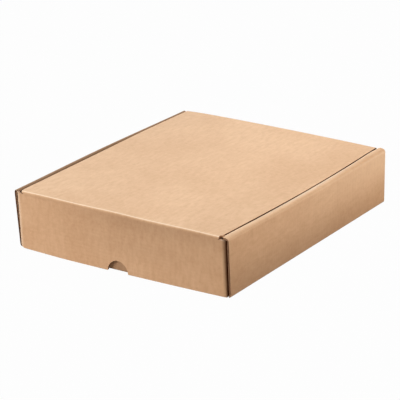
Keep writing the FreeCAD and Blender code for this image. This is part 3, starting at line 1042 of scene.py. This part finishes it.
# %% [markdown]
# ## Kraft paper
#
# Kraft liner is brown paper with long fibres. From a step away it shows three
# things: slow clouds of lighter and darker brown, a fine mottle of fibre clumps,
# and a few dark or pale specks. Closer by, the flutes behind the liner make shallow
# ribs. All but the clouds is noise on the flat sheet's own coordinates, so it turns
# with the folds. Creases are painted lighter, partly as rubbed paper and partly as a
# painted highlight, and a few flat places get painted highlights and painted light.
# The cut edges are darker and greyer, because there the light falls in between the
# fibres. Gaps, slots and other shaded places are painted by their tone in the deep
# brown of shade between walls of kraft: painted shade, and there gloss and sheen are
# turned down with it.

# %% Small helpers for node materials
def srgb(red, green, blue):
    """A colour given as 0 to 255 sRGB, as linear values: ((c + 0.055) / 1.055) to the 2.4."""
    values = np.array([red, green, blue]) / 255
    linear = np.where(values <= 0.04045, values / 12.92, ((values + 0.055) / 1.055) ** 2.4)
    return (*linear.tolist(), 1.0)


def new_material(name):
    """An empty node material with its Principled shader."""
    material = bpy.data.materials.new(name)
    material.use_nodes = True
    return material, material.node_tree.nodes["Principled BSDF"]


def node(owner, kind, settings=(), **inputs):
    """A node of a material or world, with its settings and inputs.

    An input is named, or counted as i0, i1 and so on. A value sets the socket, and
    the output socket of another node is linked to it.
    """
    made = owner.node_tree.nodes.new(kind)
    for key, value in dict(settings).items():
        setattr(made, key, value)
    for key, value in inputs.items():
        counted = key[0] == "i" and key[1:].isdigit()
        socket = made.inputs[int(key[1:]) if counted else key]
        if isinstance(value, bpy.types.NodeSocket):
            owner.node_tree.links.new(value, socket)
        else:
            socket.default_value = value
    return made


def math_node(owner, operation, *values):
    """The output of a Math node whose inputs are numbers or sockets."""
    made = node(owner, "ShaderNodeMath", {"operation": operation},
                **{f"i{k}": value for k, value in enumerate(values)})
    return made.outputs[0]


def mixed(material, factor, first, second):
    """The colour between two colours or colour sockets."""
    made = node(material, "ShaderNodeMix", {"data_type": "RGBA"}, i0=factor, i6=first, i7=second)
    return made.outputs[2]


def noise(material, vector, scale, detail, roughness=0.55):
    """The value of a noise texture, with so many bumps to a metre."""
    made = node(material, "ShaderNodeTexNoise", Vector=vector, Scale=scale, Detail=detail,
                Roughness=roughness)
    return made.outputs["Fac"]


def spread(material, value, low, high, to_low=0.0, to_high=1.0):
    """A value stretched from one range to another, and held inside it."""
    made = node(material, "ShaderNodeMapRange", {"clamp": True}, i0=value, i1=low, i2=high,
                i3=to_low, i4=to_high)
    return made.outputs[0]


# %% The kraft board's material
KRAFT = srgb(217, 175, 133)
KRAFT_LIGHT = srgb(227, 187, 146)
KRAFT_DARK = srgb(197, 151, 109)
FIBRE_DARK = srgb(170, 124, 84)
FIBRE_LIGHT = srgb(238, 205, 168)
# Paler paper: of rubbed creases, and of painted highlights and painted light.
PALE_RUB_AND_HIGHLIGHT = srgb(255, 234, 203)
CUT_EDGE = srgb(188, 148, 116)
# The colour of painted shade.
SHADED = srgb(70, 30, 5)
FLAT_RIBS = 0.018 * MM
FOLDED_RIBS = 0.080 * MM
MOTTLE_DEPTH = 0.035 * MM
FIBRE_DEPTH = 0.012 * MM


def kraft_board():
    """Kraft liner on corrugated board, on the flat sheet's coordinates in metres.

    Each layer of paint is mixed over the ones before it, by its own pattern times a
    share. The ribs are a sine across the flutes, and their depth grows in a fold.
    """
    material, shader = new_material("kraft_corrugated")
    sheet = node(material, "ShaderNodeUVMap", {"uv_map": "flat_sheet"}).outputs[0]
    place = node(material, "ShaderNodeTexCoord").outputs["Object"]
    fold, cut, tone = (node(material, "ShaderNodeAttribute", {"attribute_name": name}).outputs["Fac"]
                       for name in ("fold", "cut", "tone"))
    along = node(material, "ShaderNodeMapping", Vector=sheet, Scale=(3.2, 1.0, 1.0)).outputs[0]

    clouds = spread(material, noise(material, place, 14, 2), 0.36, 0.64)
    mottle = spread(material, noise(material, sheet, 260, 4, 0.7), 0.32, 0.68)
    clumps = spread(material, noise(material, along, 75, 3, 0.6), 0.34, 0.66)
    fibres = spread(material, noise(material, along, 900, 3, 0.7), 0.30, 0.70)
    specks = spread(material, noise(material, along, 1500, 1), 0.70, 0.80)
    pale = spread(material, noise(material, along, 1150, 1), 0.72, 0.84)

    colour = mixed(material, clouds, KRAFT_DARK, KRAFT_LIGHT)
    colour = mixed(material, 0.55, colour, KRAFT)
    # The fold layer paints paler paper: rubbed creases, painted highlights and painted light.
    for pattern, share, paint in ((clumps, 0.62, KRAFT_DARK), (mottle, 0.48, KRAFT_LIGHT),
                                  (fibres, 0.16, KRAFT_DARK), (specks, 0.45, FIBRE_DARK),
                                  (pale, 0.35, FIBRE_LIGHT), (fold, 0.85, PALE_RUB_AND_HIGHLIGHT),
                                  (cut, 0.9, CUT_EDGE)):
        colour = mixed(material, math_node(material, "MULTIPLY", pattern, share), colour, paint)
    # The tone layer is painted shade.
    colour = mixed(material, tone, colour, SHADED)
    material.node_tree.links.new(colour, shader.inputs["Base Color"])

    rough = spread(material, fibres, 0, 1, 0.80, 0.92)
    material.node_tree.links.new(rough, shader.inputs["Roughness"])
    # Gloss and sheen fall away in cut edges and where shade is painted.
    inside = math_node(material, "MAXIMUM", tone, math_node(material, "MULTIPLY", cut, 0.7))
    for gloss, amount in (("Specular IOR Level", 0.35), ("Sheen Weight", 0.25)):
        material.node_tree.links.new(spread(material, inside, 0, 1, amount, 0), shader.inputs[gloss])
    shader.inputs["Sheen Roughness"].default_value = 0.45

    split = node(material, "ShaderNodeSeparateXYZ", Vector=sheet)
    turns = math_node(material, "MULTIPLY", split.outputs["Y"], 2 * math.pi / FLUTE_PITCH)
    ribs = math_node(material, "SINE", turns)
    rib_depth = spread(material, fold, 0.45, 1, FLAT_RIBS, FOLDED_RIBS)
    height = math_node(material, "MULTIPLY", ribs, rib_depth)
    height = math_node(material, "MULTIPLY_ADD", mottle, MOTTLE_DEPTH, height)
    height = math_node(material, "MULTIPLY_ADD", fibres, FIBRE_DEPTH, height)
    bump = node(material, "ShaderNodeBump", Strength=1.0, Distance=1.0, Height=height)
    material.node_tree.links.new(bump.outputs[0], shader.inputs["Normal"])
    return material


kraft = kraft_board()
for piece in (box_sheet, front_flap_sheet, front_crease):
    piece.data.materials.append(kraft)
print(f"{kraft.name}: {len(kraft.node_tree.nodes)} nodes")

# %% [markdown]
# ## The studio
#
# The box stands on plain white. What the camera sees of the floor is mostly a
# white of strength 1, so that the background is clean, with a share of the real
# floor left in it, so that the soft shadow under the box stays. The light on the
# box is a plain level: a soft lamp over the lid, one low on the left, and two behind
# on the right, one low and one high. The near corner gets only a weak lamp of its
# own, which is why it is the darkest place, together with the painted shade beside
# the flap's right fold. Away from the camera's eye the floor is dark grey, so that
# little light comes back up to the sides.

# %% Floor and surroundings
FLOOR_SIZE = 8.0
FLOOR_GREY = (0.14, 0.14, 0.14, 1)
FLOOR_WHITE_SHARE = 0.98
SKY_COLOUR = (1.0, 0.86, 0.75, 1)
SKY_STRENGTH = 0.16


def white_for_camera(owner, plain, share, white_kind):
    """A shader that is a share of white, strength 1, to camera, gloss and glass rays.

    Each kind of ray is 0 or 1. The largest of the three, times the share, mixes the
    white over the plain shader.
    """
    rays = node(owner, "ShaderNodeLightPath").outputs
    seen = math_node(owner, "MAXIMUM", rays["Is Camera Ray"], rays["Is Glossy Ray"])
    seen = math_node(owner, "MAXIMUM", seen, rays["Is Transmission Ray"])
    white = node(owner, white_kind, Color=(1, 1, 1, 1), Strength=1.0)
    mix = node(owner, "ShaderNodeMixShader", i0=math_node(owner, "MULTIPLY", seen, share), i1=plain,
               i2=white.outputs[0])
    return mix.outputs[0]


floor_mesh = bpy.data.meshes.new("floor")
reach = FLOOR_SIZE / 2
floor_mesh.from_pydata([(-reach, -reach, 0), (reach, -reach, 0), (reach, reach, 0), (-reach, reach, 0)],
                       [], [(0, 1, 2, 3)])
floor = bpy.data.objects.new("floor", floor_mesh)
bpy.context.scene.collection.objects.link(floor)
floor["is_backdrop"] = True

floor_material, floor_shader = new_material("white_floor")
floor_shader.inputs["Base Color"].default_value = FLOOR_GREY
floor_shader.inputs["Roughness"].default_value = 0.9
floor_look = white_for_camera(floor_material, floor_shader.outputs[0], FLOOR_WHITE_SHARE,
                              "ShaderNodeEmission")
floor_tree = floor_material.node_tree
floor_tree.links.new(floor_look, floor_tree.nodes["Material Output"].inputs["Surface"])
floor_mesh.materials.append(floor_material)

world = bpy.data.worlds.new("overcast")
world.use_nodes = True
bpy.context.scene.world = world
background = world.node_tree.nodes["Background"]
background.inputs["Color"].default_value = SKY_COLOUR
background.inputs["Strength"].default_value = SKY_STRENGTH
sky_look = white_for_camera(world, background.outputs[0], 1.0, "ShaderNodeBackground")
world.node_tree.links.new(sky_look, world.node_tree.nodes["World Output"].inputs["Surface"])
print("Floor and surroundings are white to the camera")

# %% [markdown]
# Each lamp is a square that is large enough for soft shadows, and most of them have a
# faint colour. Such a lamp shines along its own downward axis, so it is turned until
# that axis points at the box.

# %% Lamps
from mathutils import Matrix, Vector


def soft_lamp(name, place, aim, size, power, colour):
    """A square area lamp that looks from its place to a point: turned first, then moved there."""
    lamp = bpy.data.lights.new(name, "AREA")
    lamp.shape, lamp.size, lamp.energy, lamp.color = "SQUARE", size, power, colour
    holder = bpy.data.objects.new(name, lamp)
    turn = (Vector(aim) - Vector(place)).to_track_quat("-Z", "Y").to_matrix().to_4x4()
    holder.matrix_world = Matrix.Translation(place) @ turn
    bpy.context.scene.collection.objects.link(holder)


box_middle = (0, 0, 0.03)
right_part = (0.06, 0.06, 0.03)
soft_lamp("over_lid", (0, 0.05, 1.6), box_middle, size=0.5, power=18.9, colour=(0.74, 0.87, 1.0))
soft_lamp("low_left", (-1.1, -1.1, 0.2), box_middle, size=0.8, power=23.8, colour=(1.0, 0.98, 1.0))
soft_lamp("low_back_right", (0.62, 0.98, 0.22), right_part, size=0.4, power=6.8, colour=(1.0, 0.82, 0.60))
soft_lamp("high_right", (1.0, 0.6, 0.9), right_part, size=0.4, power=7.4, colour=(1.0, 0.93, 0.92))
soft_lamp("front_right", (0.75, -1.35, 0.4), box_middle, size=0.5, power=4.0, colour=(1.0, 0.86, 0.78))
print("Five soft lamps, the strongest over the lid and low on the left")

# %% [markdown]
# ## The camera
#
# The photograph was taken with a long lens from the front right, a little above:
# the box's far edges are hardly smaller than its near ones. The camera's place and
# aim come from fitting the box's corners, and the aim is near the box's middle.

# %% Camera
CAMERA_PLACE = Vector((1.12391, -1.72260, 0.80001))
CAMERA_AIM = Vector((-0.0081, 0.0047, 0.0222))
CAMERA_ROLL = -0.411
LENS = 195.54
SENSOR = 36.0

camera_data = bpy.data.cameras.new("camera")
camera_data.lens = LENS
camera_data.sensor_width = SENSOR
camera_data.clip_start, camera_data.clip_end = 0.05, 50.0
camera = bpy.data.objects.new("camera", camera_data)
look = (CAMERA_AIM - CAMERA_PLACE).to_track_quat("-Z", "Y").to_matrix().to_4x4()
camera.matrix_world = Matrix.Translation(CAMERA_PLACE) @ look @ \
    Matrix.Rotation(math.radians(CAMERA_ROLL), 4, "Z")
bpy.context.scene.collection.objects.link(camera)
bpy.context.scene.camera = camera
bpy.context.scene.view_settings.view_transform = "Standard"


def pixel_of(point, frame_size=400):
    """Where a point falls in the photograph's frame: lens / sensor times sideways / depth."""
    sideways, upwards, depth = camera.matrix_world.inverted() @ Vector(point)
    scale = LENS / SENSOR * frame_size / -depth
    return frame_size / 2 + sideways * scale, frame_size / 2 - upwards * scale


for label, point in (("near bottom right", (WALL, TRAY_FRONT, 0)), ("far bottom right", (WALL, BACK, 0)),
                     ("lid, near left", (-LID_EDGE, FRONT, TOP)), ("lid, far left", (-LID_EDGE, BACK, TOP))):
    print(label, "at pixel", tuple(round(value, 1) for value in pixel_of(point)))

# %% [markdown]
# Last, the size of what was built is set beside the size of the solids, and how far
# it stands past them is printed. The board that is out of true may stand a few
# millimetres past them.

# %% Sizes and finish
visual_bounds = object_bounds()
sizes = {"cad_box": [list(map(float, corner)) for corner in cad_bounds],
         "visual_box": [list(map(float, corner)) for corner in visual_bounds]}
beyond = np.array(sizes["visual_box"]) - np.array(sizes["cad_box"])
print("Size beyond the solids, in mm:", np.round(beyond / MM, 2))
